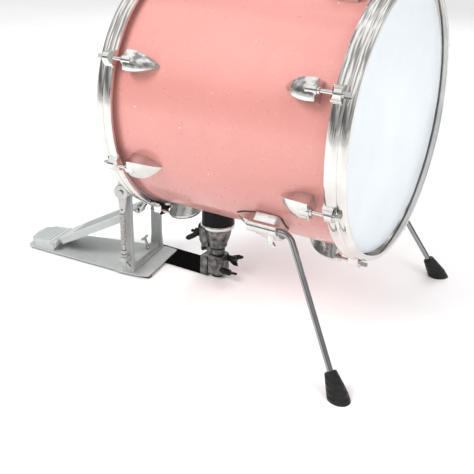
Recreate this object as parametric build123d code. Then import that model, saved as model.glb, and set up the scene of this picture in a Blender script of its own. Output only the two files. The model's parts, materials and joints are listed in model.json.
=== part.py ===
from build123d import *
from math import atan2, cos, degrees, radians, sin
import os

# Compact bass drum with metal hoops, two folding spurs, a single-post riser and a foot pedal.
# Millimetres. +X runs along the drum's axis towards the front (resonant) head, +Z is up and
# Z = 0 is the floor. The player sits on the -X side, so -Y is the drum's right-hand side.
# Everything is modelled about the point on the floor below the drum's middle and then moved
# by DRUM_X, which puts the origin in the middle of the whole assembly's length.

# ---- driving dimensions ----------------------------------------------------------------
DRUM_X = 129.6            # drum's middle, forward of the assembly's origin
AXIS_Z = 352.0            # height of the drum's axis above the floor
SHELL_R = 203.2           # 16 inch shell
SHELL_WALL = 7.5
HALF_SHELL = 198.0        # half the shell's depth, to the bearing edge
FILM = 0.5                # drumhead film
COLLAR_SEAM = 0.02        # between a head's film and its collar
FIT = 0.05                # radial clearance of a running or screwed fit
GAP = 0.3                 # clearance between faces that must not touch

HOOP_BACK = 180.0         # hoop's shell-side edge, from the drum's middle
HOOP_FRONT = 210.3
HOOP_R = 218.0            # crown of the hoop's rear band
HOOP_GROOVE_X = 197.0
HOOP_GROOVE_R = 214.2
HOOP_BORE = 211.2
HEAD_OPENING = 206.0      # radius of the head that shows inside the hoop's lip

LUGS = 8                  # lugs and tension rods at each head
FIRST_LUG = 22.5          # degrees from the top
ROD_R = 221.5             # tension rods' distance from the drum's axis
ROD_RADIUS = 2.9
EAR_BACK = 178.5
EAR_FRONT = 194.5

LUG_TIP = 104.0
LUG_END = 158.0
LUG_HALF_WIDTH = 15.0
LUG_HEIGHT = 25.0

SPUR_Y = 173.0            # spur rod's pivot, sideways from the drum's axis
SPUR_Z = 209.0            # spur rod's pivot, above the floor
SPUR_ROD = 4.75           # 3/8 inch rod
SPUR_ELBOW_X = 115.0
SPUR_BEND = 22.0
SPUR_FOOT_X = 237.0
SPUR_FOOT_Y = 232.0
BRACKET_ANGLE = 134.0     # from the top, around the shell
BRACKET_TIP = 8.0
BRACKET_END = 92.0
BRACKET_HALF_WIDTH = 22.0
BRACKET_HEIGHT = 27.0

RISER_X = -119.0
SADDLE_R = 30.3
RISER_RING_R = 32.0
HOUSING_TOP_R = 26.0
HOUSING_LOW_R = 17.5
SADDLE_Z = 110.0
RING_Z = 102.0
HOUSING_Z = 62.0
POST_R = 6.35             # half-inch post
POST_TOP = 140.0

BAR_T = 4.0
BAR_NEAR = -14.0
BAR_FAR = 46.0
BAR_LEFT = -296.0
TAB_X = -152.0
TAB_H = 36.0
BAR_BEND = 2.0            # outer radius where the tab turns up
TAB_BOLT_Z = 26.0
TAB_BOLT_RADIUS = 2.5

PEDAL_X = -270.0          # beater axle's middle, over the floor
PEDAL_Y = -32.5
PEDAL_YAW = 10.0          # the pedal is turned towards the player's right foot
AXLE_W = 173.0
AXLE_RADIUS = 5.0
POST_V = 58.0             # middle of each pedal post, sideways
PLATE_W = 4.5             # underside of the base plate, above the floor
PLATE_T = 2.5
HEEL_U = -178.0           # heel hinge
HEEL_W = 20.0
TOE_U = -5.0              # footboard's toe pin
TOE_W = 112.0
CRANK_R = 50.0            # crank pin's distance from the axle
CRANK_ANGLE = 21.7        # above horizontal
BEATER_LEAN = 18.0        # back from upright, at rest
BEATER_LENGTH = 155.0     # axle to the middle of the beater
BEATER_RADIUS = 25.0
BEATER_HALF = 20.0
PIN_RADIUS = 3.0
SPRING_V = -73.0
ROCKER_ARM = 34.0         # axle to the spring's upper hook
SPRING_LOW = 70.0

# shell fittings
VENT_RADIUS = 6.0
LUG_SCREW_X = (LUG_TIP + 14, LUG_TIP + 38)
SCREW_RADIUS = 2.0
SCREW_HOLE = 2.3
BRACKET_SCREW_X = (BRACKET_TIP + 26, BRACKET_END - 22)
RISER_SCREW_OFFSET = 22.0

# tension rods and lug nuts
NUT_RADIUS = 5.6
NUT_BACK = 147.0
NUT_FRONT = 163.0
WASHER_T = 1.2
FLANGE_T = 1.6
HEAD_SQUARE = 6.4
HEAD_END = 207.0

# spurs
GASKET_T = 1.5
SPUR_BOSS = 9.5
SPUR_BOSS_START = 44.0
SPUR_ROD_START = 50.0
CLAMP_SCREW_X = 84.0
CLAMP_SCREW_SEAT = 16.5    # head's underside, from the spur rod's axis
CLAMP_SCREW_BOSS = 6.5
CLAMP_SCREW_RADIUS = 3.0
FOOT_TOP = 42.0
FOOT_RADIUS = 16.5

# riser
SWING_Y = -10.0
SWING_Z = 84.0
ARM_LEFT = -31.5          # outer face of the hinged clamp leaf, from the riser's axis
LOCK_TOP = 57.7
LOCK_LOW = 49.0

# multi-clamp
CLAMP_LEFT = -131.0
CLAMP_RIGHT = -101.0
CLAMP_LOW = 8.6
CLAMP_TOP = 46.0
JAW_LEFT = TAB_X + BAR_T
JAW_RIGHT = -132.5
WING_BOLTS = ((11.5, 36.0, 1.0), (-11.5, 19.0, -1.0))

# pedal
TOE_SCREW_RADIUS = 2.5
TOE_SCREW_U = 8.0
TOE_SCREW_V = 20.0
TOE_SCREW_LEAN = 20.0
POST_HALF_T = 4.0
POST_HALF_U = 10.0
BRIDGE_TOP = 20.0
PLATE_TOP = PLATE_W + PLATE_T
FOOT_HALF = 42.0
KNUCKLE = 6.0
HEEL_KNUCKLES = ((-42.0, -28.0), (-7.0, 7.0), (28.0, 42.0))
FOOT_KNUCKLES = ((-27.4, -7.6), (7.6, 27.4))
BEARING_RADIUS = 9.5
BEATER_ROD = 3.95
LINK_SIDES = (5.0, 9.0)
OPEN_PIVOT = 1.4          # radial clearance of the link's lower eye on the toe pin
SPRING_WIRE = 1.0
SPRING_RADIUS = 6.0


# ---- helpers ---------------------------------------------------------------------------
def turned(*edges):
    """Solid of revolution about the X axis from the edges of a closed (x, radius) profile."""
    return revolve(make_face(Wire(list(edges))), Axis.X, 360)


def turned_polygon(*points):
    """Solid of revolution about the X axis from straight runs between (x, radius) points."""
    return revolve(make_face(Polyline(*points, close=True)), Axis.X, 360)


def rod(start, end, radius):
    """Round bar between two points."""
    run = Vector(*end) - Vector(*start)
    plane = Plane(origin=start, z_dir=run)
    return extrude(plane * Circle(radius), run.length)


def tube(start, end, outer, inner):
    """Round bar with a through bore."""
    return rod(start, end, outer) - rod(start, end, inner)


def block(low, high):
    """Box between two opposite corners."""
    size = Vector(*high) - Vector(*low)
    middle = (Vector(*high) + Vector(*low)) * 0.5
    return Pos(middle.X, middle.Y, middle.Z) * Box(size.X, size.Y, size.Z)


def plate(outline, z_low, z_high):
    """Flat plate with a polygon outline."""
    return Pos(0, 0, z_low) * extrude(make_face(Polyline(*outline, close=True)), z_high - z_low)


def around(part, angle):
    """Move a part modelled over the drum's axis to its angle around the drum, from the top."""
    return Pos(0, 0, AXIS_Z) * Rot(angle, 0, 0) * part


def lug_angles():
    return [FIRST_LUG + 360 / LUGS * step for step in range(LUGS)]


def ring_of(part):
    """One copy of a part at every lug position."""
    return [around(part, angle) for angle in lug_angles()]


def rear(parts):
    """The same parts at the rear (batter) head."""
    return [mirror(part, Plane.YZ) for part in parts]


def drum_axis_cylinder(radius, x_low=-300, x_high=300):
    return rod((x_low, 0, 0), (x_high, 0, 0), radius)


def teardrop(tip_x, end_x, half_width, height, seat_radius):
    """Boat-shaped casting on the shell's top: a domed deck over sides that meet at tip_x."""
    length = end_x - tip_x
    keel = 8.0
    shoulder_x = end_x - 0.08 * length
    deck = turned(
        ThreePointArc((tip_x, keel + 0.5), (tip_x + 0.35 * length, keel + 0.72 * height),
                      (shoulder_x, keel + height)),
        ThreePointArc((shoulder_x, keel + height), (end_x - 0.02 * length, keel + 0.96 * height),
                      (end_x, keel + 0.86 * height)),
        Line((end_x, keel + 0.86 * height), (end_x, 0)), Line((end_x, 0), (tip_x, 0)),
        Line((tip_x, 0), (tip_x, keel + 0.5)),
    )
    flank = (tip_x + 0.38 * length, 0.8 * half_width)
    sides = make_face([
        ThreePointArc((tip_x, 0), flank, (end_x, half_width)),
        Line((end_x, half_width), (end_x, -half_width)),
        ThreePointArc((end_x, -half_width), (flank[0], -flank[1]), (tip_x, 0)),
    ])
    hull = (Pos(0, 0, SHELL_R - keel) * deck) & (Pos(0, 0, SHELL_R - 12) * extrude(sides, height + 20))
    return hull - drum_axis_cylinder(seat_radius)


def wing(hub_radius, reach, width, thickness):
    """Wing nut or wing screw head: a hub standing on Z = 0 and two wings along X."""
    hub = extrude(Circle(hub_radius), width * 0.8)
    outline = [(0, width * 0.1), (reach * 0.55, width * 0.25), (reach, width * 0.75),
               (reach * 0.96, width * 1.25), (reach * 0.7, width * 1.2), (0, width * 0.55)]
    blade = extrude(Plane.XZ * make_face(Polyline(*outline, close=True)), thickness / 2, both=True)
    return hub + blade + mirror(blade, Plane.YZ)


def pedal(part):
    """Move a part from the pedal's own frame to the floor frame."""
    return Pos(PEDAL_X, PEDAL_Y, 0) * Rot(0, 0, PEDAL_YAW) * part


# ---- shell and heads -------------------------------------------------------------------


def shell():
    inner = SHELL_R - SHELL_WALL
    half = [(0, inner), (HALF_SHELL - 6, inner), (HALF_SHELL, SHELL_R - 1.5),
            (HALF_SHELL - 1.5, SHELL_R), (0, SHELL_R)]
    front = turned_polygon(*half)
    body = front + mirror(front, Plane.YZ)
    hole = rod((0, 0, inner - 5), (0, 0, SHELL_R + 5), SCREW_HOLE)
    holes = [rod((0, 0, inner - 5), (0, 0, SHELL_R + 5), VENT_RADIUS + FIT)]
    for x in LUG_SCREW_X:
        for angle in lug_angles():
            holes += [Rot(angle, 0, 0) * Pos(x, 0, 0) * hole, Rot(angle, 0, 0) * Pos(-x, 0, 0) * hole]
    for x in BRACKET_SCREW_X:
        holes += [Rot(side * BRACKET_ANGLE, 0, 0) * Pos(x, 0, 0) * hole for side in (1, -1)]
    for side in (1, -1):
        holes.append(Rot(180, 0, 0) * Pos(RISER_X + side * RISER_SCREW_OFFSET, 0, 0) * hole)
    return [around(body - holes, 0)]


def head():
    """Flat film over the bearing edge, and the collar that runs back to the flesh hoop."""
    outer = SHELL_R + GAP + FILM
    film = turned_polygon((HALF_SHELL, 0), (HALF_SHELL, outer - FILM - COLLAR_SEAM),
                          (HALF_SHELL + FILM, outer - FILM - COLLAR_SEAM), (HALF_SHELL + FILM, 0))
    collar = turned_polygon((187, outer - FILM), (HALF_SHELL + FILM, outer - FILM),
                            (HALF_SHELL + FILM, outer - 0.3), (HALF_SHELL + 0.2, outer), (187, outer))
    return [around(film, 0), around(collar, 0)]


def flesh_hoop():
    inner = SHELL_R + GAP + FILM + FIT
    return [around(turned_polygon((186.3, inner), (194.2, inner), (194.2, 207.2), (193.2, 208.2),
                                  (187.3, 208.2), (186.3, 207.2)), 0)]


def hoop():
    """Cast hoop: two convex bands with a groove between them, a front lip and eight ears."""
    back_r = 215.6
    front_r = 213.2
    lip = 2.1
    profile = [
        ThreePointArc((HOOP_BACK, back_r), (188.5, HOOP_R), (HOOP_GROOVE_X, HOOP_GROOVE_R)),
        ThreePointArc((HOOP_GROOVE_X, HOOP_GROOVE_R), (203.4, 215.7), (209.2, front_r)),
        ThreePointArc((209.2, front_r), (210.1, 212.4), (HOOP_FRONT, 211.2)),
        Line((HOOP_FRONT, 211.2), (HOOP_FRONT, HEAD_OPENING + 1)),
        ThreePointArc((HOOP_FRONT, HEAD_OPENING + 1), (HOOP_FRONT - lip / 2, HEAD_OPENING),
                      (HOOP_FRONT - lip, HEAD_OPENING + 1)),
        Line((HOOP_FRONT - lip, HEAD_OPENING + 1), (HOOP_FRONT - lip, HOOP_BORE)),
        Line((HOOP_FRONT - lip, HOOP_BORE), (196.6, HOOP_BORE)),
        Line((196.6, HOOP_BORE), (196.6, 205.0)),
        Line((196.6, 205.0), (194.4, 205.0)),
        Line((194.4, 205.0), (194.4, HOOP_BORE)),
        Line((194.4, HOOP_BORE), (HOOP_BACK, HOOP_BORE)),
        Line((HOOP_BACK, HOOP_BORE), (HOOP_BACK, back_r)),
    ]
    ring = turned(*profile)
    crown = 229.6
    section = make_face([
        Line((-14, 213), (-13.4, 215.5)), ThreePointArc((-13.4, 215.5), (-11.8, 219.5), (-9.6, 222.5)),
        ThreePointArc((-9.6, 222.5), (0, crown), (9.6, 222.5)),
        ThreePointArc((9.6, 222.5), (11.8, 219.5), (13.4, 215.5)), Line((13.4, 215.5), (14, 213)),
        Line((14, 213), (-14, 213)),
    ])
    ear = extrude(Plane(origin=(EAR_BACK, 0, 0), x_dir=(0, 1, 0), z_dir=(1, 0, 0)) * section,
                  EAR_FRONT - EAR_BACK)
    sloped_back = turned_polygon((EAR_BACK - 1, 218.5), (EAR_BACK, 222.5), (EAR_BACK + 6, crown + 0.5),
                                 (EAR_BACK + 6, crown + 9), (EAR_BACK - 1, crown + 9))
    ear = ear - sloped_back - rod((EAR_BACK - 2, 0, ROD_R), (EAR_FRONT + 1, 0, ROD_R), ROD_RADIUS + GAP)
    for angle in lug_angles():
        ring = ring + Rot(angle, 0, 0) * ear
    return [around(ring, 0)]


# ---- tension rods and lugs -------------------------------------------------------------


def tension_rod():
    washer_x = EAR_FRONT + WASHER_T
    shank = rod((NUT_BACK + 4, 0, ROD_R), (washer_x + FLANGE_T, 0, ROD_R), ROD_RADIUS)
    flange = rod((washer_x, 0, ROD_R), (washer_x + FLANGE_T, 0, ROD_R), 4.8)
    half = HEAD_SQUARE / 2
    square = block((washer_x + FLANGE_T, -half, ROD_R - half), (HEAD_END, half, ROD_R + half))
    square = chamfer(square.faces().sort_by(Axis.X)[-1].edges(), 0.8)
    return ring_of(shank + flange + square)


def rod_washer():
    return ring_of(tube((EAR_FRONT, 0, ROD_R), (EAR_FRONT + WASHER_T, 0, ROD_R), 5.4, ROD_RADIUS + GAP))


def swivel_nut():
    body = rod((NUT_BACK, 0, ROD_R), (NUT_FRONT, 0, ROD_R), NUT_RADIUS)
    body = fillet(body.edges().filter_by(GeomType.CIRCLE), 1.6)
    return ring_of(body - rod((NUT_BACK - 1, 0, ROD_R), (NUT_FRONT + 1, 0, ROD_R), ROD_RADIUS + FIT))


def lug():
    body = teardrop(LUG_TIP, LUG_END, LUG_HALF_WIDTH, LUG_HEIGHT, SHELL_R + FIT)
    barrel = rod((NUT_BACK - 4, 0, ROD_R), (LUG_END + 1.5, 0, ROD_R), NUT_RADIUS + 2.2)
    body = body + fillet(barrel.edges().filter_by(GeomType.CIRCLE), 1.2)
    body = body - rod((NUT_BACK - 0.5, 0, ROD_R), (LUG_END + 3, 0, ROD_R), NUT_RADIUS + FIT)
    for x in LUG_SCREW_X:
        body = body - rod((x, 0, SHELL_R - 2), (x, 0, SHELL_R + 7.5), SCREW_RADIUS + FIT)
    return ring_of(body)


def lug_screws():
    inner = SHELL_R - SHELL_WALL - 0.1
    screws = []
    for x in LUG_SCREW_X:
        head_disc = fillet(rod((x, 0, inner - 2.6), (x, 0, inner), 4.0).edges()
                           .filter_by(GeomType.CIRCLE).sort_by(Axis.Z)[0], 1.4)
        screws += ring_of(head_disc + rod((x, 0, inner - 1), (x, 0, SHELL_R + 6.5), SCREW_RADIUS))
    return screws + rear(screws)


def vent_grommet():
    top = SHELL_R + 0.25
    low = SHELL_R - SHELL_WALL
    body = tube((0, 0, low - 1.2), (0, 0, top + 1.4), VENT_RADIUS, VENT_RADIUS - 1.2)
    flange = rod((0, 0, top), (0, 0, top + 1.4), 9.5) - rod((0, 0, top - 1), (0, 0, top + 2), 5)
    flange = fillet(flange.edges().filter_by(GeomType.CIRCLE).sort_by(Axis.Z)[-2:], 0.5)
    return [around(body + flange, 0)]


# ---- spurs -----------------------------------------------------------------------------


def pivot_offset():
    """The spur pivot in the bracket's frame: sideways and outward from the drum's axis."""
    radius = (SPUR_Y ** 2 + (AXIS_Z - SPUR_Z) ** 2) ** 0.5
    angle = degrees(atan2(SPUR_Y, SPUR_Z - AXIS_Z))
    lean = radians(BRACKET_ANGLE - angle)
    return radius * sin(lean), radius * cos(lean)


def spur_bracket():
    across, out = pivot_offset()
    seat = SHELL_R + GASKET_T
    body = teardrop(BRACKET_TIP, BRACKET_END, BRACKET_HALF_WIDTH, BRACKET_HEIGHT, seat)
    boss = rod((SPUR_BOSS_START, across, out), (BRACKET_END + 3, across, out), SPUR_BOSS)
    boss = fillet(boss.edges().filter_by(GeomType.CIRCLE), 2.0)
    foot = block((SPUR_BOSS_START + 6, across - 8, seat - 10), (BRACKET_END - 2, across + 7, out))
    foot = fillet(foot.edges().filter_by(Axis.Z), 3.0)
    body = body + boss + (foot - drum_axis_cylinder(seat))
    body = body + clamp_screw_rod(0, CLAMP_SCREW_SEAT - GAP, CLAMP_SCREW_BOSS)
    body = body - rod((SPUR_ROD_START - 1, across, out), (BRACKET_END + 9, across, out), SPUR_ROD + FIT)
    body = body - clamp_screw_rod(0, CLAMP_SCREW_SEAT + 1, CLAMP_SCREW_RADIUS + FIT)
    for x in BRACKET_SCREW_X:
        body = body - rod((x, 0, SHELL_R - 2), (x, 0, SHELL_R + 10.5), SCREW_RADIUS + FIT)
    return body


def clamp_screw_rod(low, high, radius):
    """Cylinder on the clamp screw's line, measured outward from the spur rod's axis."""
    across, out = pivot_offset()
    foot = Vector(CLAMP_SCREW_X, across, out)
    direction = Vector(0, -1, 1).normalized()
    return rod(tuple(foot + direction * low), tuple(foot + direction * high), radius)


def clamp_screw():
    """Wing screw under the bracket that presses on the spur rod."""
    across, out = pivot_offset()
    direction = Vector(0, -1, 1).normalized()
    seat = Vector(CLAMP_SCREW_X, across, out) + direction * CLAMP_SCREW_SEAT
    head_plane = Plane(origin=seat, x_dir=(1, 0.35, 0.35), z_dir=direction)
    shank = clamp_screw_rod(SPUR_ROD + GAP, CLAMP_SCREW_SEAT + 2, CLAMP_SCREW_RADIUS)
    return shank + head_plane * wing(5.5, 11, 8, 3.4)


def spur_gasket():
    seat = SHELL_R + GASKET_T
    pad = teardrop(BRACKET_TIP - 1, BRACKET_END + 1, BRACKET_HALF_WIDTH + 1, 14, SHELL_R + FIT)
    pad = pad & drum_axis_cylinder(seat - FIT)
    for x in BRACKET_SCREW_X:
        pad = pad - rod((x, 0, SHELL_R - 2), (x, 0, seat + 2), SCREW_HOLE)
    return pad


def bracket_screws():
    """Machine screws from inside the shell into the spur brackets and the riser."""
    inner = SHELL_R - SHELL_WALL - 0.1
    screws = []
    for x in BRACKET_SCREW_X:
        part = rod((x, 0, inner - 3), (x, 0, inner), 4.5) + rod((x, 0, inner - 1), (x, 0, SHELL_R + 9),
                                                                SCREW_RADIUS)
        screws += [around(part, side * BRACKET_ANGLE) for side in (1, -1)]
    for side in (1, -1):
        x = RISER_X + side * RISER_SCREW_OFFSET
        part = rod((x, 0, inner - 3), (x, 0, inner), 4.5) + rod((x, 0, inner - 1), (x, 0, SHELL_R + 16),
                                                                SCREW_RADIUS)
        screws.append(around(part, 180))
    return screws


def spur_leg():
    """Ends of the sloping part of the right-hand spur: elbow and floor."""
    elbow = Vector(SPUR_ELBOW_X, -SPUR_Y, SPUR_Z)
    floor = Vector(SPUR_FOOT_X, -SPUR_FOOT_Y, 0)
    return elbow, floor


def spur_rod():
    elbow, floor = spur_leg()
    up = (elbow - floor).normalized()
    inside_foot = floor + up * 20.0
    start = (SPUR_ROD_START, -SPUR_Y, SPUR_Z)
    path = FilletPolyline(start, elbow, inside_foot, radius=SPUR_BEND)
    section = Plane(origin=start, z_dir=(1, 0, 0)) * Circle(SPUR_ROD)
    return sweep(section, path=path)


def spur_foot():
    elbow, floor = spur_leg()
    up = (elbow - floor).normalized()
    outline = [
        Line((0, -14), (0, FOOT_TOP)), Line((0, FOOT_TOP), (7.2, FOOT_TOP)),
        ThreePointArc((7.2, FOOT_TOP), (9.0, FOOT_TOP - 1.0), (9.8, FOOT_TOP - 3)),
        ThreePointArc((9.8, FOOT_TOP - 3), (13.6, 20), (FOOT_RADIUS, 4)),
        Line((FOOT_RADIUS, 4), (FOOT_RADIUS, -14)), Line((FOOT_RADIUS, -14), (0, -14)),
    ]
    body = revolve(Plane.XZ * make_face(outline), Axis.Z, 360)
    body = Plane(origin=floor, z_dir=up).location * body
    body = body & block((0, -400, 0), (400, 0, 100))
    start = floor + up * 20.0
    end = floor + up * (FOOT_TOP + 5)
    return body - rod((start.X, start.Y, start.Z), (end.X, end.Y, end.Z), SPUR_ROD + FIT)


# ---- riser -----------------------------------------------------------------------------
def vertical(x, y, z_low, z_high, radius):
    return rod((x, y, z_low), (x, y, z_high), radius)


def riser_saddle():
    body = vertical(RISER_X, 0, SADDLE_Z, 160, SADDLE_R)
    body = fillet(body.edges().filter_by(GeomType.CIRCLE).sort_by(Axis.Z)[0], 2.0)
    body = body - around(drum_axis_cylinder(SHELL_R + FIT), 0)
    body = body - vertical(RISER_X, 0, SADDLE_Z - 1, POST_TOP + 4, POST_R + 1)
    for side in (1, -1):
        body = body - vertical(RISER_X + side * RISER_SCREW_OFFSET, 0, 131, 160, SCREW_RADIUS + FIT)
    return body


def riser_ring():
    profile = [
        Line((0, RING_Z), (RISER_RING_R - 1.8, RING_Z)),
        ThreePointArc((RISER_RING_R - 1.8, RING_Z), (RISER_RING_R, RING_Z + 4.5),
                      (RISER_RING_R - 1, SADDLE_Z)),
        Line((RISER_RING_R - 1, SADDLE_Z), (0, SADDLE_Z)),
        Line((0, SADDLE_Z), (0, RING_Z)),
    ]
    ring = Pos(RISER_X, 0, 0) * revolve(Plane.XZ * make_face(profile), Axis.Z, 360)
    return ring - vertical(RISER_X, 0, RING_Z - 1, SADDLE_Z + 1, POST_R + 1)


def riser_housing():
    profile = [
        Line((0, HOUSING_Z), (HOUSING_LOW_R - 2, HOUSING_Z)),
        ThreePointArc((HOUSING_LOW_R - 2, HOUSING_Z), (HOUSING_LOW_R - 0.6, HOUSING_Z + 0.6),
                      (HOUSING_LOW_R, HOUSING_Z + 2)),
        Line((HOUSING_LOW_R, HOUSING_Z + 2), (HOUSING_LOW_R + 0.5, 69)),
        ThreePointArc((HOUSING_LOW_R + 0.5, 69), (HOUSING_TOP_R - 4.6, 79), (HOUSING_TOP_R - 1.6, 90)),
        Line((HOUSING_TOP_R - 1.6, 90), (HOUSING_TOP_R, RING_Z)), Line((HOUSING_TOP_R, RING_Z), (0, RING_Z)),
        Line((0, RING_Z), (0, HOUSING_Z)),
    ]
    body = Pos(RISER_X, 0, 0) * revolve(Plane.XZ * make_face(profile), Axis.Z, 360)
    rib = block((RISER_X - 2.5, -HOUSING_TOP_R, 66), (RISER_X + 2.5, 0, 96))
    shield = Pos(RISER_X, 0, 66) * Cone(HOUSING_LOW_R + 1.6, HOUSING_TOP_R + 0.4, 30,
                                        align=(Align.CENTER, Align.CENTER, Align.MIN))
    body = body + (rib & shield)
    body = body - vertical(RISER_X, 0, HOUSING_Z - 1, RING_Z + 1, POST_R + FIT)
    pocket = block((RISER_X - 40, -16, HOUSING_Z - 1), (RISER_X - 12, 16, 99))
    body = body - pocket
    return body - rod((RISER_X - 14, SWING_Y, SWING_Z), (RISER_X - 9, SWING_Y, SWING_Z), PIN_RADIUS + FIT)


def riser_clamp_arm():
    """Hinged leaf that the wing nut pulls against the post."""
    outline = [(-12.5, 61), (-12.5, 98), (-26, 98.5), (ARM_LEFT, 94), (ARM_LEFT, 72), (-25, 61)]
    points = [(RISER_X + x, z) for x, z in outline]
    leaf = extrude(Plane.XZ * make_face(Polyline(*points, close=True)), 15.5, both=True)
    return leaf - rod((RISER_X - 40, SWING_Y, SWING_Z), (RISER_X - 10, SWING_Y, SWING_Z), PIN_RADIUS + GAP)


def riser_swing_bolt():
    return rod((RISER_X - 52, SWING_Y, SWING_Z), (RISER_X - 9.5, SWING_Y, SWING_Z), PIN_RADIUS)


def riser_wing_nut():
    face = (RISER_X + ARM_LEFT - GAP, SWING_Y, SWING_Z)
    seat = Plane(origin=face, x_dir=(0, -0.97, -0.24), z_dir=(-1, 0, 0))
    body = seat * wing(7.5, 26, 14, 5)
    return body - rod((RISER_X - 60, SWING_Y, SWING_Z), (RISER_X - 20, SWING_Y, SWING_Z), PIN_RADIUS + FIT)


def memory_lock():
    """Collar on the post that keeps its height, with a screw ear."""
    collar = vertical(RISER_X, 0, LOCK_LOW, LOCK_TOP, 13.5)
    ear = block((RISER_X - 33, -7, LOCK_LOW), (RISER_X - 10, 7, LOCK_TOP))
    body = collar + ear
    body = body - vertical(RISER_X, 0, LOCK_LOW - 1, LOCK_TOP + 1, POST_R + FIT)
    return body - rod((RISER_X - 26, -12, 53.3), (RISER_X - 26, 12, 53.3), 2.0 + FIT)


def memory_lock_screw():
    shank = rod((RISER_X - 26, -9, 53.3), (RISER_X - 26, 9, 53.3), 2.0)
    return shank + rod((RISER_X - 26, -12, 53.3), (RISER_X - 26, -7.3, 53.3), 3.9)


def riser_post():
    body = vertical(RISER_X, 0, 3, POST_TOP, POST_R)
    return chamfer(body.edges().filter_by(GeomType.CIRCLE), 0.8)


def post_foot():
    body = vertical(RISER_X, 0, 0, 8, 10.5)
    body = fillet(body.edges().filter_by(GeomType.CIRCLE).sort_by(Axis.Z)[-1], 2.5)
    return body - vertical(RISER_X, 0, 3, 9, POST_R + FIT)


# ---- multi-clamp between the post and the pedal's bar ------------------------------------


def clamp_body():
    profile = [(CLAMP_LEFT, -17), (CLAMP_RIGHT - 8, -17), (CLAMP_RIGHT, -10), (CLAMP_RIGHT, 12),
               (CLAMP_RIGHT - 6, 17), (CLAMP_LEFT, 17)]
    body = plate(profile, CLAMP_LOW, CLAMP_TOP)
    body = fillet(body.edges().filter_by(Axis.Z), 2.5)
    body = chamfer(body.faces().sort_by(Axis.Z)[-1].edges(), 1.5)
    body = body - vertical(RISER_X, 0, 0, 60, POST_R + FIT)
    for y, z, _ in WING_BOLTS:
        body = body - rod((-140, y, z), (-90, y, z), PIN_RADIUS + GAP)
    return body


def clamp_jaw():
    body = block((JAW_LEFT, -16, 1.5), (JAW_RIGHT, 16, 38))
    body = fillet(body.edges().filter_by(Axis.Y), 1.5)
    for y, z, _ in WING_BOLTS:
        body = body - rod((JAW_LEFT + 3, y, z), (-120, y, z), PIN_RADIUS + FIT)
    return body - rod((JAW_LEFT - 1, 0, TAB_BOLT_Z), (JAW_LEFT + 9, 0, TAB_BOLT_Z), TAB_BOLT_RADIUS + FIT)


def clamp_wing_bolt(y, z, lean):
    shank = rod((JAW_LEFT + 4, y, z), (CLAMP_RIGHT + 4, y, z), PIN_RADIUS)
    seat = Plane(origin=(CLAMP_RIGHT + GAP, y, z), x_dir=(0, lean, 0.45), z_dir=(1, 0, 0))
    return shank + seat * wing(6.0, 12, 20, 4.5)


def pedal_bar():
    """Flat bar on the floor with an upturned tab, and the bolt that fixes the tab to the jaw."""
    flat = block((BAR_LEFT, BAR_NEAR, 0), (TAB_X, BAR_FAR, BAR_T))
    tab = block((TAB_X - 1, BAR_NEAR, 0), (JAW_LEFT, 17, TAB_H))
    tab = tab - block((TAB_X - 5, BAR_NEAR - 1, BAR_T), (TAB_X, 20, TAB_H + 1))
    body = flat + tab
    ends = body.edges().filter_by(Axis.Y).filter_by_position(Axis.X, JAW_LEFT - 0.1, JAW_LEFT + 0.1)
    body = fillet(ends.sort_by(Axis.Z)[0], BAR_BEND)
    body = body - toe_screw_shank(TOE_SCREW_RADIUS + FIT)
    return body - rod((TAB_X - 1, 0, TAB_BOLT_Z), (JAW_LEFT + 1, 0, TAB_BOLT_Z), TAB_BOLT_RADIUS + GAP)


def tab_bolt():
    shank = rod((TAB_X - 1, 0, TAB_BOLT_Z), (JAW_LEFT + 8, 0, TAB_BOLT_Z), TAB_BOLT_RADIUS)
    return shank + rod((TAB_X - 3.2, 0, TAB_BOLT_Z), (TAB_X - GAP, 0, TAB_BOLT_Z), 2 * TAB_BOLT_RADIUS)


# ---- pedal, in its own frame: u forward, v to the left, w up -----------------------------


def toe_screw_shank(radius):
    """The toe-clamp screw's shank on the floor frame; it leans back towards the player."""
    low = Vector(TOE_SCREW_U, TOE_SCREW_V, 1.0)
    lean = Vector(-sin(radians(TOE_SCREW_LEAN)), 0, cos(radians(TOE_SCREW_LEAN)))
    high = low + lean * 46.0
    return pedal(rod((low.X, low.Y, low.Z), (high.X, high.Y, high.Z), radius))


def toe_clamp_screw():
    low = Vector(TOE_SCREW_U, TOE_SCREW_V, 1.0)
    lean = Vector(-sin(radians(TOE_SCREW_LEAN)), 0, cos(radians(TOE_SCREW_LEAN)))
    top = low + lean * 44.0
    cross = rod((top.X, top.Y - 10, top.Z), (top.X, top.Y + 10, top.Z), 2.6)
    collar_low = low + lean * 23.0
    collar_high = low + lean * 26.5
    collar = rod(tuple(collar_low), tuple(collar_high), 5.0)
    return toe_screw_shank(TOE_SCREW_RADIUS) + pedal(cross + collar)


def base_plate():
    outline = [(43, -63), (43, 63), (22, 67), (-18, 67), (-32, 62), (-168, 47), (-238, 38),
               (-244, 30), (-244, -30), (-238, -38), (-168, -47), (-32, -62), (-18, -67), (22, -67)]
    body = fillet(plate(outline, PLATE_W, PLATE_TOP).edges().filter_by(Axis.Z), 5.0)
    return pedal(body) - toe_screw_shank(TOE_SCREW_RADIUS + GAP)


def plate_pads():
    """Rubber pads between the base plate and the floor, clear of the flat bar."""
    spots = [(-228, -24), (-228, 24), (-150, -34), (-150, 34), (-60, -44), (34, -54)]
    return [pedal(Pos(u, v, 0) * extrude(RectangleRounded(18, 14, 4), PLATE_W)) for u, v in spots]


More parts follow.
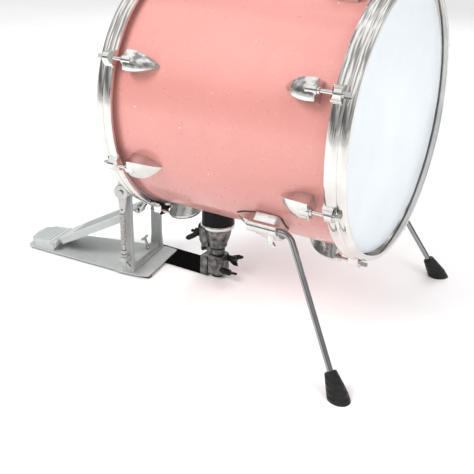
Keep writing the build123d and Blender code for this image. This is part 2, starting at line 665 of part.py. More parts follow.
def pedal_frame():
    """Two uprights on a low bridge, with bearing eyes at the top and a spring lug."""
    foot_u = POST_HALF_U + 2
    foot_v = POST_V + POST_HALF_T
    body = block((-foot_u, -foot_v, PLATE_TOP), (foot_u, foot_v, 11))
    body = body + block((-8, -POST_V, 11), (8, POST_V, BRIDGE_TOP))
    for v in (-POST_V, POST_V):
        side = [(-foot_u, 9), (foot_u, 9), (POST_HALF_U, 40), (POST_HALF_U, 150), (foot_u, AXLE_W),
                (-foot_u, AXLE_W), (-POST_HALF_U, 150), (-POST_HALF_U, 40)]
        upright = extrude(Plane.XZ * make_face(Polyline(*side, close=True)), POST_HALF_T, both=True)
        eye = rod((0, -POST_HALF_T, AXLE_W), (0, POST_HALF_T, AXLE_W), 14.0)
        body = body + Pos(0, v, 0) * (upright + eye)
        body = body - rod((0, v - 10, AXLE_W), (0, v + 10, AXLE_W), BEARING_RADIUS + FIT)
    lug_body = block((-8, SPRING_V - 8, 36), (6, -POST_V, 43))
    body = body + fillet(lug_body.edges().filter_by(Axis.Z).sort_by(Axis.Y)[:2], 4.0)
    body = body - rod((-1, SPRING_V, 30), (-1, SPRING_V, 50), PIN_RADIUS + GAP)
    return pedal(body) - toe_screw_shank(TOE_SCREW_RADIUS + GAP)


def heel_plate():
    """Heel rest with three hinge knuckles along its front edge."""
    outline = [(HEEL_U - 8, -42), (HEEL_U - 8, 42), (-222, 38), (-240, 24), (-244, 0), (-240, -24),
               (-222, -38)]
    body = plate(outline, PLATE_TOP, 22)
    body = chamfer(body.faces().sort_by(Axis.Z)[-1].edges(), 2.5)
    arms = [block((HEEL_U - 12, low, PLATE_TOP), (HEEL_U, high, HEEL_W)) for low, high in HEEL_KNUCKLES]
    eyes = [rod((HEEL_U, low, HEEL_W), (HEEL_U, high, HEEL_W), KNUCKLE) for low, high in HEEL_KNUCKLES]
    grooves = [block((u - 1.2, -30, 21), (u + 1.2, 30, 23)) for u in range(-232, -196, 7)]
    return pedal(body + arms + eyes - grooves - heel_bore(PIN_RADIUS + FIT))


def heel_bore(radius):
    return rod((HEEL_U, -60, HEEL_W), (HEEL_U, 60, HEEL_W), radius)


def heel_pin():
    pin = rod((HEEL_U, -43.5, HEEL_W), (HEEL_U, 43.5, HEEL_W), PIN_RADIUS)
    return pedal(fillet(pin.edges().filter_by(GeomType.CIRCLE), 0.8))


def footboard():
    """Footboard in its rest slope: a ribbed plate with side flanges, knuckles and a toe lug."""
    slope = degrees(atan2(TOE_W - HEEL_W, TOE_U - HEEL_U))
    reach = ((TOE_W - HEEL_W) ** 2 + (TOE_U - HEEL_U) ** 2) ** 0.5
    top = 7.0
    outline = [(5, -27.4), (12, -34), (60, -40), (reach - 20, -FOOT_HALF), (reach + 2, -34),
               (reach + 10, -14), (reach + 10, 14), (reach + 2, 34), (reach - 20, FOOT_HALF), (60, 40),
               (12, 34), (5, 27.4)]
    tread = fillet(plate(outline, top - 3, top).edges().filter_by(Axis.Z), 4.0)
    flanges = []
    for side in (1, -1):
        flange = [(16, side * 34.2), (60, side * 40), (reach - 22, side * FOOT_HALF),
                  (reach - 22, side * 38.2), (60, side * 36.8), (16, side * 31)]
        flanges.append(plate(flange, top - 13, top - 1))
    ribs = [block((s - 1.5, -26, top - 1), (s + 1.5, 26, top + 1.2))
            for s in range(50, int(reach) - 15, 9)]
    arms = [block((0, low, -3), (16, high, top - 1)) for low, high in FOOT_KNUCKLES]
    eyes = [rod((0, low, 0), (0, high, 0), KNUCKLE) for low, high in FOOT_KNUCKLES]
    toe_lug = rod((reach, -4, 0), (reach, 4, 0), 7.5)
    toe_lug = toe_lug + block((reach - 7.5, -4, 0), (reach + 7.5, 4, top - 1))
    body = tread + flanges + ribs + arms + eyes + toe_lug
    slots = [block((reach - 10, side * 7.5 - 3.2, top - 4), (reach + 12, side * 7.5 + 3.2, top + 3))
             for side in (1, -1)]
    body = body - slots - rod((reach, -5, 0), (reach, 5, 0), PIN_RADIUS + FIT)
    body = body - rod((0, -30, 0), (0, 30, 0), PIN_RADIUS + FIT)
    return pedal(Pos(HEEL_U, 0, HEEL_W) * Rot(0, -slope, 0) * body)


def toe_pin():
    return pedal(rod((TOE_U, -12.5, TOE_W), (TOE_U, 12.5, TOE_W), PIN_RADIUS))


def axle():
    body = rod((0, -82, AXLE_W), (0, 66, AXLE_W), AXLE_RADIUS)
    return pedal(chamfer(body.edges().filter_by(GeomType.CIRCLE), 0.8))


def bearings():
    return [pedal(tube((0, v - POST_HALF_T, AXLE_W), (0, v + POST_HALF_T, AXLE_W), BEARING_RADIUS,
                       AXLE_RADIUS + FIT)) for v in (-POST_V, POST_V)]


def crank_point():
    angle = radians(CRANK_ANGLE)
    return CRANK_R * cos(angle), AXLE_W + CRANK_R * sin(angle)


def lean_direction():
    return -sin(radians(BEATER_LEAN)), cos(radians(BEATER_LEAN))


def beater_line():
    """Plane on the axle whose normal runs up the beater's rod."""
    du, dw = lean_direction()
    return Plane(origin=(0, 0, AXLE_W), x_dir=(0, 1, 0), z_dir=(du, 0, dw))


def beater_hub():
    """Split clamp on the axle with a socket for the beater's rod and a crank arm."""
    pin_u, pin_w = crank_point()
    hub = rod((0, -15, AXLE_W), (0, 15, AXLE_W), 12.0)
    hub = fillet(hub.edges().filter_by(GeomType.CIRCLE), 1.2)
    along = beater_line()
    socket = along * (Pos(0, 0, 9) * extrude(RectangleRounded(16, 15, 3), 19))
    arm_plane = Plane(origin=(0, 0, AXLE_W), x_dir=(cos(radians(CRANK_ANGLE)), 0, sin(radians(CRANK_ANGLE))),
                      z_dir=(0, -1, 0))
    outline = [(0, -10), (CRANK_R, -6.5), (CRANK_R, 6.5), (0, 10)]
    arm = arm_plane * extrude(make_face(Polyline(*outline, close=True)), 4, both=True)
    eye = rod((pin_u, -4, pin_w), (pin_u, 4, pin_w), 7.5)
    body = hub + socket + arm + eye
    body = body - rod((0, -20, AXLE_W), (0, 20, AXLE_W), AXLE_RADIUS + FIT)
    body = body - along * (Pos(0, 0, 8) * extrude(Circle(BEATER_ROD + FIT), 40))
    body = body - rod((pin_u, -6, pin_w), (pin_u, 6, pin_w), PIN_RADIUS + FIT)
    return pedal(body - hub_screw_shank(2.0 + FIT))


def hub_screw_shank(radius):
    along = beater_line()
    return along * rod((-12, 0, 20), (-BEATER_ROD - 0.1, 0, 20), radius)


def hub_screw():
    along = beater_line()
    square = along * block((-16, -2.6, 17.4), (-10, 2.6, 22.6))
    return pedal(hub_screw_shank(2.0) + square)


def beater_rod():
    du, dw = lean_direction()
    start = (9 * du, 0, AXLE_W + 9 * dw)
    end = (du * (BEATER_LENGTH + 22), 0, AXLE_W + dw * (BEATER_LENGTH + 22))
    body = rod(start, end, BEATER_ROD)
    return pedal(chamfer(body.edges().filter_by(GeomType.CIRCLE), 0.8))


def beater_felt():
    """Round felt beater, its flat face towards the drumhead."""
    du, dw = lean_direction()
    middle = (du * BEATER_LENGTH, 0, AXLE_W + dw * BEATER_LENGTH)
    facing = Plane(origin=middle, x_dir=(0, 1, 0), z_dir=(dw, 0, -du))
    felt = extrude(Circle(BEATER_RADIUS), BEATER_HALF, both=True)
    felt = fillet(felt.edges().filter_by(GeomType.CIRCLE), 6.0)
    bore = rod((du * 100, 0, AXLE_W + dw * 100), (du * 200, 0, AXLE_W + dw * 200), BEATER_ROD + FIT)
    return pedal(facing * felt - bore)


def drive_link():
    """Two side plates from the crank pin to the toe pin, joined by a bridge."""
    pin_u, pin_w = crank_point()
    length = ((pin_u - TOE_U) ** 2 + (pin_w - TOE_W) ** 2) ** 0.5
    frame = Plane(origin=(TOE_U, 0, TOE_W), x_dir=((pin_u - TOE_U) / length, 0, (pin_w - TOE_W) / length),
                  z_dir=(0, -1, 0))
    strip = make_face(Polyline((0, -6), (length, -6), (length, 6), (0, 6), close=True))
    sides = []
    for side in (1, -1):
        low = min(side * LINK_SIDES[0], side * LINK_SIDES[1])
        bar = Pos(0, 0, low) * extrude(strip, LINK_SIDES[1] - LINK_SIDES[0])
        for s in (0, length):
            bar = bar + Pos(s, 0, low) * extrude(Circle(7.5), LINK_SIDES[1] - LINK_SIDES[0])
        sides.append(bar)
    bridge = Pos(0.42 * length, 0, -LINK_SIDES[0]) * extrude(Rectangle(12, 10), 2 * LINK_SIDES[0])
    body = sides[0] + sides[1] + bridge
    body = body - Pos(0, 0, -12) * extrude(Circle(PIN_RADIUS + OPEN_PIVOT), 24)
    body = body - Pos(length, 0, -12) * extrude(Circle(PIN_RADIUS + FIT), 24)
    return pedal(frame * body)


def crank_pin():
    pin_u, pin_w = crank_point()
    return pedal(rod((pin_u, -12, pin_w), (pin_u, 12, pin_w), PIN_RADIUS))


def spring_rocker():
    """Lever clamped to the axle's right-hand end; the return spring hooks to its lower end."""
    side = [(-9, 0), (-6, 20), (0, 24), (6, 20), (9, 0), (5, -ROCKER_ARM - 4), (0, -ROCKER_ARM - 8),
            (-5, -ROCKER_ARM - 4)]
    arm = extrude(Plane.XZ * make_face(Polyline(*side, close=True)), 3, both=True)
    boss = rod((0, -5.5, 0), (0, 5.5, 0), 14.0)
    body = arm + fillet(boss.edges().filter_by(GeomType.CIRCLE), 1.5)
    body = body - rod((0, -9, 0), (0, 9, 0), AXLE_RADIUS + FIT)
    body = body - rod((0, -9, -ROCKER_ARM), (0, 9, -ROCKER_ARM), 2.0)
    return pedal(Pos(0, SPRING_V, AXLE_W) * body)


def return_spring():
    """Close-wound extension spring, as a ribbed tube, with a straight tail at each end."""
    top = AXLE_W - ROCKER_ARM - 9
    low = SPRING_LOW
    turns = int((top - low) / (2.4 * SPRING_WIRE))
    pitch = (top - low) / turns
    body = Pos(-1, SPRING_V, low) * extrude(Circle(SPRING_RADIUS), top - low)
    bore = Circle(SPRING_RADIUS - 2 * SPRING_WIRE)
    body = body - Pos(-1, SPRING_V, low - 1) * extrude(bore, top - low + 2)
    groove = Torus(SPRING_RADIUS + 0.35, 0.6)
    for turn in range(1, turns):
        body = body - Pos(-1, SPRING_V, low + turn * pitch) * groove
    return pedal(body)


def spring_hook_bolt():
    """Threaded rod through the frame's lug that tensions the spring."""
    shank = rod((-1, SPRING_V, 27), (-1, SPRING_V, SPRING_LOW - 0.5), PIN_RADIUS)
    return pedal(shank)


def spring_nuts():
    """Two hexagon nuts above the lug and a tension wing nut below it."""
    bore = Circle(PIN_RADIUS + FIT)
    nut = extrude(RegularPolygon(5.6, 6), 5) - extrude(bore, 5)
    tension = Rot(180, 0, 20) * (wing(6.5, 16, 10, 3.6) - extrude(bore, 14))
    spots = [Pos(-1, SPRING_V, w) * nut for w in (43.1, 52.0)]
    return [pedal(part) for part in spots + [Pos(-1, SPRING_V, 35.9) * tension]]


# ---- build -----------------------------------------------------------------------------
def left(part):
    """The left-hand copy of a right-hand spur part."""
    return mirror(part, Plane.XZ)


def bodies():
    front_heads = {"head": head(), "flesh_hoop": flesh_hoop(), "hoop": hoop(), "tension_rods": tension_rod(),
                   "lugs": lug()}
    nodes = {"shell": shell()}
    for name, parts in front_heads.items():
        nodes["resonant_" + name] = parts
        nodes["batter_" + name] = rear(parts)
    nodes["rod_washers"] = rod_washer() + rear(rod_washer())
    nodes["swivel_nuts"] = swivel_nut() + rear(swivel_nut())
    nodes["shell_screws"] = lug_screws() + bracket_screws()
    nodes["vent_grommet"] = vent_grommet()
    for name, part in {"spur_bracket": spur_bracket(), "spur_gasket": spur_gasket(),
                       "spur_clamp_screw": clamp_screw()}.items():
        placed = around(part, BRACKET_ANGLE)
        nodes[name + "_right"] = [placed]
        nodes[name + "_left"] = [left(placed)]
    for name, part in {"spur_rod": spur_rod(), "spur_foot": spur_foot()}.items():
        nodes[name + "_right"] = [part]
        nodes[name + "_left"] = [left(part)]
    nodes["riser_saddle"] = [riser_saddle()]
    nodes["riser_ring"] = [riser_ring()]
    nodes["riser_housing"] = [riser_housing()]
    nodes["riser_clamp_arm"] = [riser_clamp_arm()]
    nodes["riser_swing_bolt"] = [riser_swing_bolt()]
    nodes["riser_wing_nut"] = [riser_wing_nut()]
    nodes["memory_lock"] = [memory_lock()]
    nodes["memory_lock_screw"] = [memory_lock_screw()]
    nodes["riser_post"] = [riser_post()]
    nodes["post_foot"] = [post_foot()]
    nodes["clamp_body"] = [clamp_body()]
    nodes["clamp_jaw"] = [clamp_jaw()]
    nodes["clamp_wing_bolt_upper"] = [clamp_wing_bolt(*WING_BOLTS[0])]
    nodes["clamp_wing_bolt_lower"] = [clamp_wing_bolt(*WING_BOLTS[1])]
    nodes["pedal_bar"] = [pedal_bar()]
    nodes["toe_clamp_screw"] = [toe_clamp_screw()]
    nodes["pedal_base_plate"] = [base_plate()]
    nodes["pedal_pads"] = plate_pads()
    nodes["pedal_frame"] = [pedal_frame()]
    nodes["heel_plate"] = [heel_plate()]
    nodes["heel_hinge_pin"] = [heel_pin()]
    nodes["footboard"] = [footboard()]
    nodes["toe_pin"] = [toe_pin()]
    nodes["beater_axle"] = [axle()]
    nodes["axle_bearings"] = bearings()
    nodes["beater_hub"] = [beater_hub()]
    nodes["hub_screw"] = [hub_screw()]
    nodes["beater_rod"] = [beater_rod()]
    nodes["beater_felt"] = [beater_felt()]
    nodes["drive_link"] = [drive_link()]
    nodes["crank_pin"] = [crank_pin()]
    nodes["spring_rocker"] = [spring_rocker()]
    nodes["return_spring"] = [return_spring()]
    nodes["spring_hook_bolt"] = [spring_hook_bolt()]
    nodes["pedal_fasteners"] = spring_nuts() + [tab_bolt()]
    return nodes


def main():
    os.makedirs("parts", exist_ok=True)
    for name, parts in bodies().items():
        solids = [solid for part in parts for solid in (Pos(DRUM_X, 0, 0) * part).solids()]
        whole = solids[0] if len(solids) == 1 else Compound(children=solids)
        export_step(whole, "parts/" + name + ".step")


main()
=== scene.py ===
import json
import math

import bpy
from mathutils import Matrix, Vector
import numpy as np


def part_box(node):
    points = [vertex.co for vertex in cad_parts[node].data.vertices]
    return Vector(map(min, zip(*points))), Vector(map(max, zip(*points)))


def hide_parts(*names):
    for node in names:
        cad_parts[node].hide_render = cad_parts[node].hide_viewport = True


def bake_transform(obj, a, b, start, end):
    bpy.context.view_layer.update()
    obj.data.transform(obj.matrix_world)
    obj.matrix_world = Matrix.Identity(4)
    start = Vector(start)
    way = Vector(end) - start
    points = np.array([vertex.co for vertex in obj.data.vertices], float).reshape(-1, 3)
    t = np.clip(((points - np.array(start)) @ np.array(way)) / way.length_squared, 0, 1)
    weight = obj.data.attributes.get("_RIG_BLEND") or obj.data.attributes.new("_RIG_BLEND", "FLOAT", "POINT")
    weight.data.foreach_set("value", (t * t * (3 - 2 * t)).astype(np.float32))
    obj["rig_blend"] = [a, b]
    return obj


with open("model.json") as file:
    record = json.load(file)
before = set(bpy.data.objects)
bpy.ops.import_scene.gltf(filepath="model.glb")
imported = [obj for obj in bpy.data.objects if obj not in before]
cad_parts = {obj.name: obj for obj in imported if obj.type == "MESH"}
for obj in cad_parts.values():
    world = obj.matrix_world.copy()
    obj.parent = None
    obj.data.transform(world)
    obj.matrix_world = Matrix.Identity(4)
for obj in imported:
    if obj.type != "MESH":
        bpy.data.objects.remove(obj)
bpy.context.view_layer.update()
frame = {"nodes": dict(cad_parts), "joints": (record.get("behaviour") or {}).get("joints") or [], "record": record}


# ---- node helpers ------------------------------------------------------------------------
def colour_mix(tree):
    """A Mix node for colours: the node, its two colour inputs and its colour output."""
    node = tree.nodes.new("ShaderNodeMix")
    node.data_type = "RGBA"
    first, second = [plug for plug in node.inputs if plug.type == "RGBA"]
    return node, first, second, next(plug for plug in node.outputs if plug.type == "RGBA")


class Maker:
    """Builds one procedural material from object-space textures."""

    def __init__(self, name):
        self.material = bpy.data.materials.new(name)
        self.material.use_nodes = True
        self.tree = self.material.node_tree
        self.shader = self.tree.nodes["Principled BSDF"]
        self.place = self.tree.nodes.new("ShaderNodeTexCoord").outputs["Object"]

    def link(self, source, target):
        self.tree.links.new(source, target)

    def noise(self, scale, detail=3.0, rough=0.55, stretch=None):
        node = self.tree.nodes.new("ShaderNodeTexNoise")
        node.inputs["Scale"].default_value = scale
        node.inputs["Detail"].default_value = detail
        node.inputs["Roughness"].default_value = rough
        self.link(self.stretched(stretch), node.inputs["Vector"])
        return node.outputs["Fac"]

    def cells(self, scale):
        node = self.tree.nodes.new("ShaderNodeTexVoronoi")
        node.inputs["Scale"].default_value = scale
        self.link(self.place, node.inputs["Vector"])
        return node

    def stretched(self, stretch):
        if stretch is None:
            return self.place
        node = self.tree.nodes.new("ShaderNodeMapping")
        node.inputs["Scale"].default_value = stretch
        self.link(self.place, node.inputs["Vector"])
        return node.outputs["Vector"]

    def ramp(self, fac, low, high, start=0.3, stop=0.7):
        node = self.tree.nodes.new("ShaderNodeValToRGB")
        node.color_ramp.elements[0].position = start
        node.color_ramp.elements[0].color = (*low, 1)
        node.color_ramp.elements[1].position = stop
        node.color_ramp.elements[1].color = (*high, 1)
        self.link(fac, node.inputs["Fac"])
        return node.outputs["Color"]

    def span(self, fac, low, high, start=0.3, stop=0.7):
        node = self.tree.nodes.new("ShaderNodeMapRange")
        for name, value in (("From Min", start), ("From Max", stop), ("To Min", low), ("To Max", high)):
            node.inputs[name].default_value = value
        self.link(fac, node.inputs["Value"])
        return node.outputs["Result"]

    def mix(self, fac, first, second):
        node, first_in, second_in, result = colour_mix(self.tree)
        self.link(fac, node.inputs["Factor"])
        self.link(first, first_in)
        self.link(second, second_in)
        return result

    def bump(self, fac, depth, strength=0.5):
        node = self.tree.nodes.new("ShaderNodeBump")
        node.inputs["Distance"].default_value = depth
        node.inputs["Strength"].default_value = strength
        self.link(fac, node.inputs["Height"])
        self.link(node.outputs["Normal"], self.shader.inputs["Normal"])

    def colour(self, output):
        self.link(output, self.shader.inputs["Base Color"])

    def roughness(self, output):
        self.link(output, self.shader.inputs["Roughness"])

    def plain(self, **values):
        for name, value in values.items():
            self.shader.inputs[name.replace("_", " ")].default_value = value


def shade(colour, factor):
    return tuple(min(1.0, part * factor) for part in colour)


# ---- materials ---------------------------------------------------------------------------
def lacquer():
    """Coral lacquer over fine metal flake, with a few large white glint spots painted in as highlights, under a deep
    clear coat.
    """
    made = Maker("shell_lacquer")
    coral = (0.65, 0.272, 0.242)
    cloud = made.ramp(made.noise(5.0), shade(coral, 0.93), shade(coral, 1.04))
    flake = made.cells(1100.0)
    bright = made.ramp(flake.outputs["Distance"], (0.95, 0.62, 0.57), coral, 0.10, 0.42)
    tone = made.span(made.noise(420.0, 1.0), 0.0, 0.5, 0.52, 0.68)
    # painted highlights: sparse white glint spots mixed into the base colour
    painted_glint = made.span(made.cells(30.0).outputs["Distance"], 1.0, 0.0, 0.012, 0.04)
    white = made.ramp(made.noise(90.0), (1.0, 0.97, 0.95), (1.0, 1.0, 1.0))
    made.colour(made.mix(painted_glint, made.mix(tone, cloud, bright), white))
    made.roughness(made.span(made.noise(60.0), 0.26, 0.36))
    made.bump(made.noise(900.0, 2.0), 0.00005, 0.25)
    made.plain(Metallic=0.1, Coat_Weight=0.5, Coat_Roughness=0.06)
    return made.material


def drumhead():
    """Coated white film with a fine sprayed grain."""
    made = Maker("head_film")
    made.colour(made.ramp(made.noise(7.0), (0.70, 0.76, 0.80), (0.78, 0.83, 0.86)))
    made.roughness(made.span(made.noise(300.0), 0.34, 0.48))
    made.bump(made.noise(1600.0, 2.0), 0.00006, 0.3)
    made.plain(Coat_Weight=0.25, Coat_Roughness=0.2)
    return made.material


def plated(name, colour, smooth, worn, smear=45.0, ripple=0.00002):
    """Bright plating with faint hazing and, on castings, the ripple left under the polish."""
    made = Maker(name)
    made.colour(made.ramp(made.noise(smear), shade(colour, 0.86), shade(colour, 1.06)))
    made.roughness(made.span(made.noise(smear * 3), smooth, worn))
    made.bump(made.noise(190.0, 2.0), ripple, 0.6)
    made.plain(Metallic=1.0)
    return made.material


def brushed(name, colour, smooth, worn):
    """Turned or drawn steel: fine lines across the bar."""
    made = Maker(name)
    lines = made.noise(350.0, 2.0, stretch=(6.0, 1.0, 1.0))
    made.colour(made.ramp(lines, shade(colour, 0.84), shade(colour, 1.08)))
    made.roughness(made.span(lines, smooth, worn))
    made.bump(lines, 0.00003, 0.25)
    made.plain(Metallic=1.0)
    return made.material


def painted(name, colour, rough, grain, depth, metal=0.0, shine=0.5, mottle=0.14):
    """Powder coat, casting or moulding: mottled colour over a grained surface."""
    made = Maker(name)
    made.colour(made.ramp(made.noise(95.0), shade(colour, 1 - mottle), shade(colour, 1 + mottle)))
    made.roughness(made.span(made.noise(110.0), rough - 0.07, rough + 0.09))
    made.bump(made.noise(grain, 3.0), depth, 0.5)
    made.plain(Metallic=metal, Specular_IOR_Level=shine)
    return made.material


def casting():
    """Rough die casting: dark and bright patches at random and a pitted surface."""
    made = Maker("riser_casting")
    patches = made.noise(70.0, 4.0, 0.6)
    made.colour(made.ramp(patches, (0.035, 0.037, 0.036), (0.27, 0.27, 0.257), 0.34, 0.70))
    made.roughness(made.span(patches, 0.42, 0.22))
    made.bump(made.noise(260.0, 3.0), 0.0006, 0.6)
    made.plain(Metallic=0.85)
    return made.material


def ribbed_rubber():
    """Moulded rubber with ribs running round it."""
    made = Maker("black_rubber")
    made.colour(made.ramp(made.noise(60.0), (0.006, 0.006, 0.007), (0.016, 0.016, 0.017)))
    made.roughness(made.span(made.noise(140.0), 0.40, 0.58))
    ribs = made.tree.nodes.new("ShaderNodeTexWave")
    ribs.bands_direction = "Z"
    ribs.inputs["Scale"].default_value = 38.0
    ribs.inputs["Distortion"].default_value = 0.2
    made.link(made.place, ribs.inputs["Vector"])
    made.bump(ribs.outputs["Fac"], 0.0012, 0.8)
    made.plain(Specular_IOR_Level=0.35)
    return made.material


def felt():
    """Pressed wool: tangled fibres in long fine noise."""
    made = Maker("beater_felt")
    fibre = made.noise(520.0, 6.0, 0.75, stretch=(1.0, 1.0, 2.6))
    made.colour(made.ramp(fibre, (0.62, 0.59, 0.52), (0.90, 0.87, 0.80)))
    made.roughness(made.span(fibre, 0.82, 0.97))
    made.bump(fibre, 0.0005, 0.8)
    made.plain(Sheen_Weight=0.5, Sheen_Roughness=0.5)
    return made.material


MATERIALS = {
    "shell_lacquer": lacquer(),
    "head_film": drumhead(),
    "flesh_hoop_metal": brushed("flesh_hoop_metal", (0.62, 0.62, 0.63), 0.30, 0.42),
    "hoop_chrome": plated("hoop_chrome", (0.74, 0.72, 0.69), 0.05, 0.12, 22.0, 0.00004),
    "hardware_chrome": plated("hardware_chrome", (0.70, 0.69, 0.665), 0.06, 0.15, ripple=0.0003),
    "rod_steel": brushed("rod_steel", (0.66, 0.66, 0.65), 0.08, 0.18),
    "spur_steel": plated("spur_steel", (0.34, 0.34, 0.35), 0.02, 0.05),
    "black_rubber": ribbed_rubber(),
    "saddle_black": painted("saddle_black", (0.004, 0.004, 0.004), 0.35, 900.0, 0.00006, shine=0.15),
    "riser_casting": casting(),
    "riser_hardware": painted("riser_hardware", (0.022, 0.024, 0.024), 0.24, 500.0, 0.0002, 0.7),
    "bar_black": painted("bar_black", (0.003, 0.003, 0.003), 0.70, 900.0, 0.0001, shine=0.01),
    "pedal_paint": painted("pedal_paint", (0.430, 0.449, 0.440), 0.50, 1000.0, 0.00012, shine=0.3,
                           mottle=0.05),
    "pedal_steel": plated("pedal_steel", (0.46, 0.45, 0.44), 0.10, 0.22, ripple=0.0002),
    "spring_steel": brushed("spring_steel", (0.66, 0.65, 0.63), 0.20, 0.32),
    "beater_felt": felt(),
}

for part in frame["record"]["subparts"]:
    node = frame["nodes"][part["node"]]
    node.data.materials.clear()
    node.data.materials.append(MATERIALS[part["material_slot"]])


# ---- return spring -----------------------------------------------------------------------
WIRE = 0.0010
COIL_SIDES = 10
STEPS_PER_TURN = 20
TURNS = 25
COIL_INSET = 1.4 * WIRE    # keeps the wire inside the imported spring's outline
HOOK_RADIUS = 0.0042
HOOK_STEPS = 18
HOOK_SWEEP = 1.35 * math.pi


def joint(name):
    return next(entry for entry in frame["joints"] if entry["name"] == name)


def tube(name, path, radius):
    """Closed round tube along a list of points."""
    verts = []
    faces = []
    normal = Vector((1, 0, 0))
    for index, point in enumerate(path):
        ahead = path[min(index + 1, len(path) - 1)]
        behind = path[max(index - 1, 0)]
        along = (ahead - behind).normalized()
        normal = (normal - along * normal.dot(along)).normalized()
        side = along.cross(normal)
        for step in range(COIL_SIDES):
            turn = 2 * math.pi * step / COIL_SIDES
            verts.append(point + (normal * math.cos(turn) + side * math.sin(turn)) * radius)
    for ring in range(len(path) - 1):
        for step in range(COIL_SIDES):
            here = ring * COIL_SIDES + step
            beside = ring * COIL_SIDES + (step + 1) % COIL_SIDES
            faces.append((here, beside, beside + COIL_SIDES, here + COIL_SIDES))
    faces.append(tuple(reversed(range(COIL_SIDES))))
    faces.append(tuple(range(len(verts) - COIL_SIDES, len(verts))))
    mesh = bpy.data.meshes.new(name)
    mesh.from_pydata([tuple(vert) for vert in verts], [], faces)
    for face in mesh.polygons:
        face.use_smooth = len(face.vertices) == 4
    made = bpy.data.objects.new(name, mesh)
    bpy.context.scene.collection.objects.link(made)
    return made


def keep_straight(spring, low_z, high_z):
    """Weigh each coil so that the spring's middle line is straight at full press, as a pulled spring is."""
    turn = joint("beater_turn")
    travel = math.radians(turn["range_deg"][1])
    axle_z = turn["pos_m"][2]
    long_arm = axle_z - low_z
    short_arm = axle_z - high_z
    run = Vector((short_arm * math.sin(travel), 0, long_arm - short_arm * math.cos(travel))).normalized()
    nearest = long_arm * run.z
    weights = spring.data.attributes["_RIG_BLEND"].data
    for vert, weight in zip(spring.data.vertices, weights):
        arm = min(max(axle_z - vert.co.z, short_arm), long_arm)
        reach = nearest - math.sqrt(nearest ** 2 - long_arm ** 2 + arm ** 2)
        weight.value = math.atan2(reach * run.x, long_arm - reach * run.z) / travel


def return_spring():
    """Coil between the frame's hook bolt and the rocker, with a hook into the rocker's eye."""
    low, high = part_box("return_spring")
    middle = (low + high) / 2
    coil = (high.x - low.x) / 2 - COIL_INSET
    axle = Vector(joint("beater_turn")["axis"])
    forward = Vector((axle.y, -axle.x, 0))
    upward = Vector((0, 0, 1))
    path = []
    for step in range(TURNS * STEPS_PER_TURN + 1):
        turn = 2 * math.pi * step / STEPS_PER_TURN
        rise = low.z + WIRE + (high.z - low.z - 2 * WIRE) * step / (TURNS * STEPS_PER_TURN)
        ring = (forward * math.cos(turn) + axle * math.sin(turn)) * coil
        path.append(Vector((middle.x, middle.y, rise)) + ring)
    top = Vector((middle.x, middle.y, high.z + HOOK_RADIUS + WIRE))
    for step in range(1, HOOK_STEPS + 1):
        turn = HOOK_SWEEP * step / HOOK_STEPS
        path.append(top + forward * math.cos(turn) * HOOK_RADIUS + upward * math.sin(turn) * HOOK_RADIUS)
    spring = tube("return_spring_coil", path, WIRE)
    spring.data.materials.append(MATERIALS["spring_steel"])
    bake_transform(spring, "pedal_base", "beater", start=(middle.x, middle.y, low.z), end=(middle.x, middle.y, high.z))
    keep_straight(spring, low.z, high.z)
    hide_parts("return_spring")


return_spring()


# ---- floor, light and camera -------------------------------------------------------------
FLOOR_REACH = 9.0
ROOM_STRENGTH = 1.3
# the room's brightness from straight down (0) to straight up (1), dark just above the horizon
ROOM_LEVELS = ((0.00, 0.95), (0.46, 0.90), (0.53, 0.29), (0.62, 0.40), (0.74, 0.95), (1.00, 1.05))


def floor():
    mesh = bpy.data.meshes.new("floor")
    corners = ((-1, -1), (1, -1), (1, 1), (-1, 1))
    mesh.from_pydata([(x * FLOOR_REACH, y * FLOOR_REACH, 0) for x, y in corners], [], [(0, 1, 2, 3)])
    made = bpy.data.objects.new("floor", mesh)
    bpy.context.scene.collection.objects.link(made)
    paint = Maker("floor_paint")
    paint.colour(paint.ramp(paint.noise(3.0), (0.90, 0.90, 0.90), (0.93, 0.93, 0.93)))
    paint.plain(Roughness=0.9)
    mesh.materials.append(paint.material)


def softbox(name, place, target, size, power, reflected=False):
    lamp = bpy.data.lights.new(name, "AREA")
    lamp.shape = "RECTANGLE"
    lamp.size, lamp.size_y = size
    lamp.energy = power
    made = bpy.data.objects.new(name, lamp)
    made.location = place
    made.visible_glossy = reflected
    made.rotation_euler = (Vector(target) - Vector(place)).to_track_quat("-Z", "Y").to_euler()
    bpy.context.scene.collection.objects.link(made)


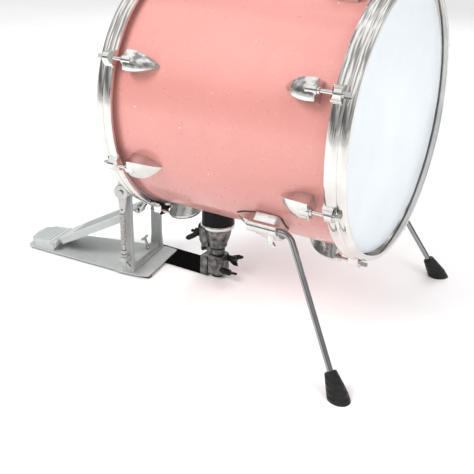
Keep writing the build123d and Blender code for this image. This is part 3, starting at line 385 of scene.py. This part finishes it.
def studio():
    """Pale room, darker towards the horizon so that the plating has something to reflect."""
    world = bpy.data.worlds.new("studio")
    world.use_nodes = True
    bpy.context.scene.world = world
    tree = world.node_tree
    back = tree.nodes["Background"]
    back.inputs["Strength"].default_value = ROOM_STRENGTH
    way = tree.nodes.new("ShaderNodeTexCoord").outputs["Generated"]
    split = tree.nodes.new("ShaderNodeSeparateXYZ")
    tree.links.new(way, split.inputs["Vector"])
    patches = tree.nodes.new("ShaderNodeTexNoise")
    patches.inputs["Scale"].default_value = 3.2
    patches.inputs["Detail"].default_value = 1.5
    tree.links.new(way, patches.inputs["Vector"])
    dim = tree.nodes.new("ShaderNodeValToRGB")
    dim.color_ramp.elements[0].position = 0.42
    dim.color_ramp.elements[0].color = (0.34, 0.34, 0.35, 1)
    dim.color_ramp.elements[1].position = 0.56
    tree.links.new(patches.outputs["Fac"], dim.inputs["Fac"])
    room, level_in, patch_in, room_out = colour_mix(tree)
    room.blend_type = "MULTIPLY"
    room.inputs["Factor"].default_value = 1.0
    ramp = tree.nodes.new("ShaderNodeValToRGB")
    ramp.color_ramp.elements[0].position = ROOM_LEVELS[0][0]
    ramp.color_ramp.elements[1].position = ROOM_LEVELS[-1][0]
    for place, _ in ROOM_LEVELS[1:-1]:
        ramp.color_ramp.elements.new(place)
    for element, (_, level) in zip(ramp.color_ramp.elements, ROOM_LEVELS):
        element.color = (level, level, level, 1)
    height = tree.nodes.new("ShaderNodeMapRange")
    height.inputs["From Min"].default_value = -1.0
    tree.links.new(split.outputs["Z"], height.inputs["Value"])
    tree.links.new(height.outputs["Result"], ramp.inputs["Fac"])
    seen, room_in, plain_in, seen_out = colour_mix(tree)
    tree.links.new(tree.nodes.new("ShaderNodeLightPath").outputs["Is Camera Ray"], seen.inputs["Factor"])
    tree.links.new(ramp.outputs["Color"], level_in)
    tree.links.new(dim.outputs["Color"], patch_in)
    tree.links.new(room_out, room_in)
    plain_in.default_value = (1, 1, 1, 1)
    tree.links.new(seen_out, back.inputs["Color"])
    softbox("key", (-0.9, -1.9, 2.3), (0, 0, 0.35), (1.6, 1.2), 62.0)
    softbox("fill", (2.4, -0.8, 1.5), (0.2, 0, 0.3), (1.4, 1.4), 22.0)
    softbox("back", (-0.4, 2.4, 2.0), (0, 0, 0.3), (1.8, 1.2), 28.0, reflected=True)
    bpy.context.scene.view_settings.view_transform = "Standard"


CAMERA_PLACE = Vector((0.6962, -1.0905, 0.6716))
CAMERA_RIGHT = Vector((0.8556, 0.5172, 0.0217))
CAMERA_UP = Vector((-0.23282, 0.34709, 0.90847))
CAMERA_LENS = 57.72


def camera():
    data = bpy.data.cameras.new("camera")
    data.lens = CAMERA_LENS
    data.sensor_width = 36.0
    made = bpy.data.objects.new("camera", data)
    right = CAMERA_RIGHT.normalized()
    back = right.cross(CAMERA_UP).normalized()
    up = back.cross(right)
    turn = Matrix((right, up, back)).transposed().to_4x4()
    made.matrix_world = Matrix.Translation(CAMERA_PLACE) @ turn
    bpy.context.scene.collection.objects.link(made)
    bpy.context.scene.camera = made


floor()
studio()
camera()
